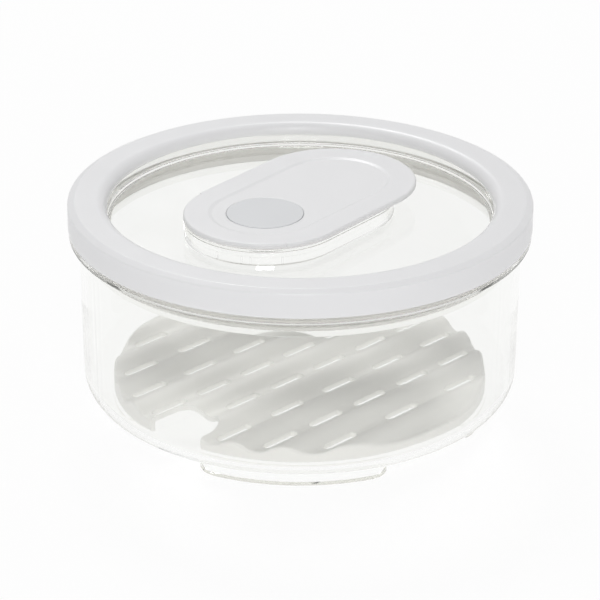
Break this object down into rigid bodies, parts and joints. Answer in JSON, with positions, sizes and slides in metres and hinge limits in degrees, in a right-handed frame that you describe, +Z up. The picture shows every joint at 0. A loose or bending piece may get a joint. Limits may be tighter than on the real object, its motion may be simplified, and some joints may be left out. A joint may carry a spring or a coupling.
{
  "type": "food storage container",
  "caption": "Round clear food keeper with a drain tray inside, moulded feet and a white-ringed clear lid whose oblong vent cover swings aside.",
  "frame": {"origin": "on the surface that the container stands on, under the centre of the bowl", "axes": "+Z up along the bowl's axis; the front of the object faces -Y and +X is to the viewer's right"},
  "size_m": [0.159, 0.159, 0.0773],
  "materials": {
    "clear_plastic": "clear moulded plastic, polished",
    "white_tray_plastic": "white moulded plastic, satin",
    "white_lid_plastic": "white moulded plastic, fine satin",
    "seal_rubber": "translucent soft rubber",
    "grey_cap_plastic": "pale grey moulded plastic, satin"
  },
  "bodies": {
    "bowl": {"bowl": "clear_plastic"},
    "tray": {"drain_tray": "white_tray_plastic"},
    "lid": {"lid_window": "clear_plastic", "lid_ring": "white_lid_plastic", "lid_seal": "seal_rubber"},
    "vent": {"vent_cover": "white_lid_plastic", "vent_cap": "grey_cap_plastic"}
  },
  "joints": [
    {"name": "lid_lift", "type": "slide", "parent": "bowl", "child": "lid", "axis": [0, 0, 1], "range_m": [0, 0.12]},
    {"name": "tray_lift", "type": "slide", "parent": "bowl", "child": "tray", "axis": [0, 0, 1], "range_m": [0, 0.045]},
    {"name": "vent_swing", "type": "hinge", "parent": "lid", "child": "vent", "pos_m": [-0.0119, -0.01507, 0.0755], "axis": [0, 0, 1], "range_deg": [0, 70]}
  ]
}
